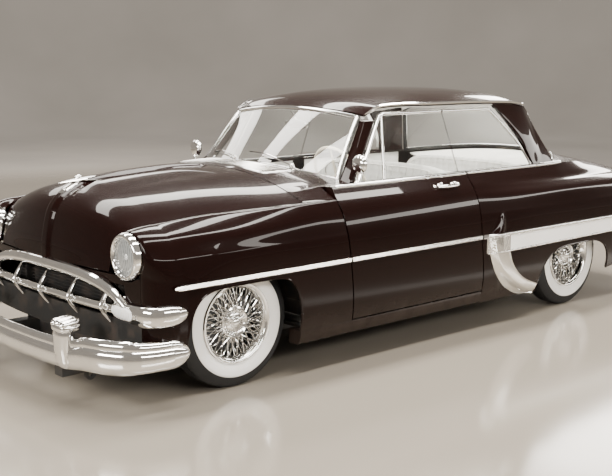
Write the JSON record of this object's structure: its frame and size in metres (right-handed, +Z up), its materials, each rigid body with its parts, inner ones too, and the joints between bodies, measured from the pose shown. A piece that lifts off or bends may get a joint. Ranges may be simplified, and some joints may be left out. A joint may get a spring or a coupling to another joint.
{
  "type": "two-door hardtop saloon car of the 1950s",
  "caption": "Lowered two-door hardtop car on wire wheels, with opening doors, hood and trunk, turning wheels and geared steering.",
  "frame": {"origin": "on the ground, midway along the overall length, on the centre line", "axes": "+X forward, +Y to the car's left, +Z up"},
  "size_m": [4.989, 1.928, 1.5151],
  "materials": {
    "body_paint": "gloss",
    "roof_paint": "gloss",
    "glass": "clear",
    "chrome": "polished",
    "wire_chrome": "polished",
    "whitewall_tyre": "matt with a white side band",
    "chassis_black": "satin",
    "under_paint": "matt",
    "cast_grey": "rough",
    "pipe_steel": "dull",
    "upholstery": "woven",
    "dash_paint": "gloss",
    "wheel_ivory": "gloss",
    "lamp_clear": "clear",
    "lamp_red": "gloss"
  },
  "bodies": {
    "body": {"chassis_frame": "chassis_black", "engine": "cast_grey", "front_suspension": "chassis_black", "rear_suspension": "chassis_black", "driveshaft": "chassis_black", "exhaust": "pipe_steel", "fuel_tank": "chassis_black", "floor_pan": "under_paint", "rockers": "body_paint", "inner_panels": "under_paint", "cowl": "body_paint", "nose_panel": "body_paint", "fender_left": "body_paint", "fender_right": "body_paint", "quarter_left": "body_paint", "quarter_right": "body_paint", "roof": "roof_paint", "roof_pillars": "roof_paint", "rear_deck": "body_paint", "tail_panel": "body_paint", "fixed_glass": "glass", "grille": "chrome", "headlights": "lamp_clear", "taillights": "lamp_red", "front_bumper": "chrome", "rear_bumper": "chrome", "front_seat": "upholstery", "rear_seat": "upholstery", "dashboard": "dash_paint"},
    "door_left_body": {"door_left": "body_paint", "door_glass_left": "glass", "door_mirror_left": "chrome"},
    "door_right_body": {"door_right": "body_paint", "door_glass_right": "glass", "door_mirror_right": "chrome"},
    "hood_body": {"hood": "body_paint"},
    "trunk_body": {"trunk_lid": "body_paint"},
    "helm_body": {"steering_wheel": "wheel_ivory"},
    "knuckle_left_body": {"knuckle_left": "cast_grey"},
    "knuckle_right_body": {"knuckle_right": "cast_grey"},
    "wheel_front_left_body": {"wheel_front_left": "wire_chrome", "tyre_front_left": "whitewall_tyre"},
    "wheel_front_right_body": {"wheel_front_right": "wire_chrome", "tyre_front_right": "whitewall_tyre"},
    "wheel_rear_left_body": {"wheel_rear_left": "wire_chrome", "tyre_rear_left": "whitewall_tyre"},
    "wheel_rear_right_body": {"wheel_rear_right": "wire_chrome", "tyre_rear_right": "whitewall_tyre"}
  },
  "joints": [
    {"name": "door_left_swing", "type": "hinge", "parent": "body", "child": "door_left_body", "pos_m": [0.868, 0.922, 0.6], "axis": [0, 0, -1], "range_deg": [0, 65]},
    {"name": "door_right_swing", "type": "hinge", "parent": "body", "child": "door_right_body", "pos_m": [0.868, -0.922, 0.6], "axis": [0, 0, 1], "range_deg": [0, 65]},
    {"name": "hood_lift", "type": "hinge", "parent": "body", "child": "hood_body", "pos_m": [0.995, 0, 0.96], "axis": [0, -1, 0], "range_deg": [0, 50]},
    {"name": "trunk_lift", "type": "hinge", "parent": "body", "child": "trunk_body", "pos_m": [-1.766, 0, 1.003], "axis": [0, 1, 0], "range_deg": [0, 60]},
    {"name": "steering_turn", "type": "hinge", "parent": "body", "child": "helm_body", "pos_m": [0.695, 0.37, 0.87], "axis": [-0.8944, 0, 0.4472], "range_deg": [-352, 352]},
    {"name": "steer_left", "type": "hinge", "parent": "body", "child": "knuckle_left_body", "pos_m": [1.595, 0.6, 0.345], "axis": [0, 0, 1], "range_deg": [-22, 22]},
    {"name": "steer_right", "type": "hinge", "parent": "body", "child": "knuckle_right_body", "pos_m": [1.595, -0.6, 0.345], "axis": [0, 0, 1], "range_deg": [-22, 22]},
    {"name": "wheel_front_left_spin", "type": "hinge", "parent": "knuckle_left_body", "child": "wheel_front_left_body", "pos_m": [1.595, 0.715, 0.345], "axis": [0, 1, 0], "continuous": true},
    {"name": "wheel_front_right_spin", "type": "hinge", "parent": "knuckle_right_body", "child": "wheel_front_right_body", "pos_m": [1.595, -0.715, 0.345], "axis": [0, 1, 0], "continuous": true},
    {"name": "wheel_rear_left_spin", "type": "hinge", "parent": "body", "child": "wheel_rear_left_body", "pos_m": [-1.326, 0.73, 0.345], "axis": [0, 1, 0], "continuous": true},
    {"name": "wheel_rear_right_spin", "type": "hinge", "parent": "body", "child": "wheel_rear_right_body", "pos_m": [-1.326, -0.73, 0.345], "axis": [0, 1, 0], "continuous": true}
  ],
  "couplings": [
    {"joint": "steer_left", "follows": "steering_turn", "ratio": 0.0625},
    {"joint": "steer_right", "follows": "steering_turn", "ratio": 0.0625}
  ]
}
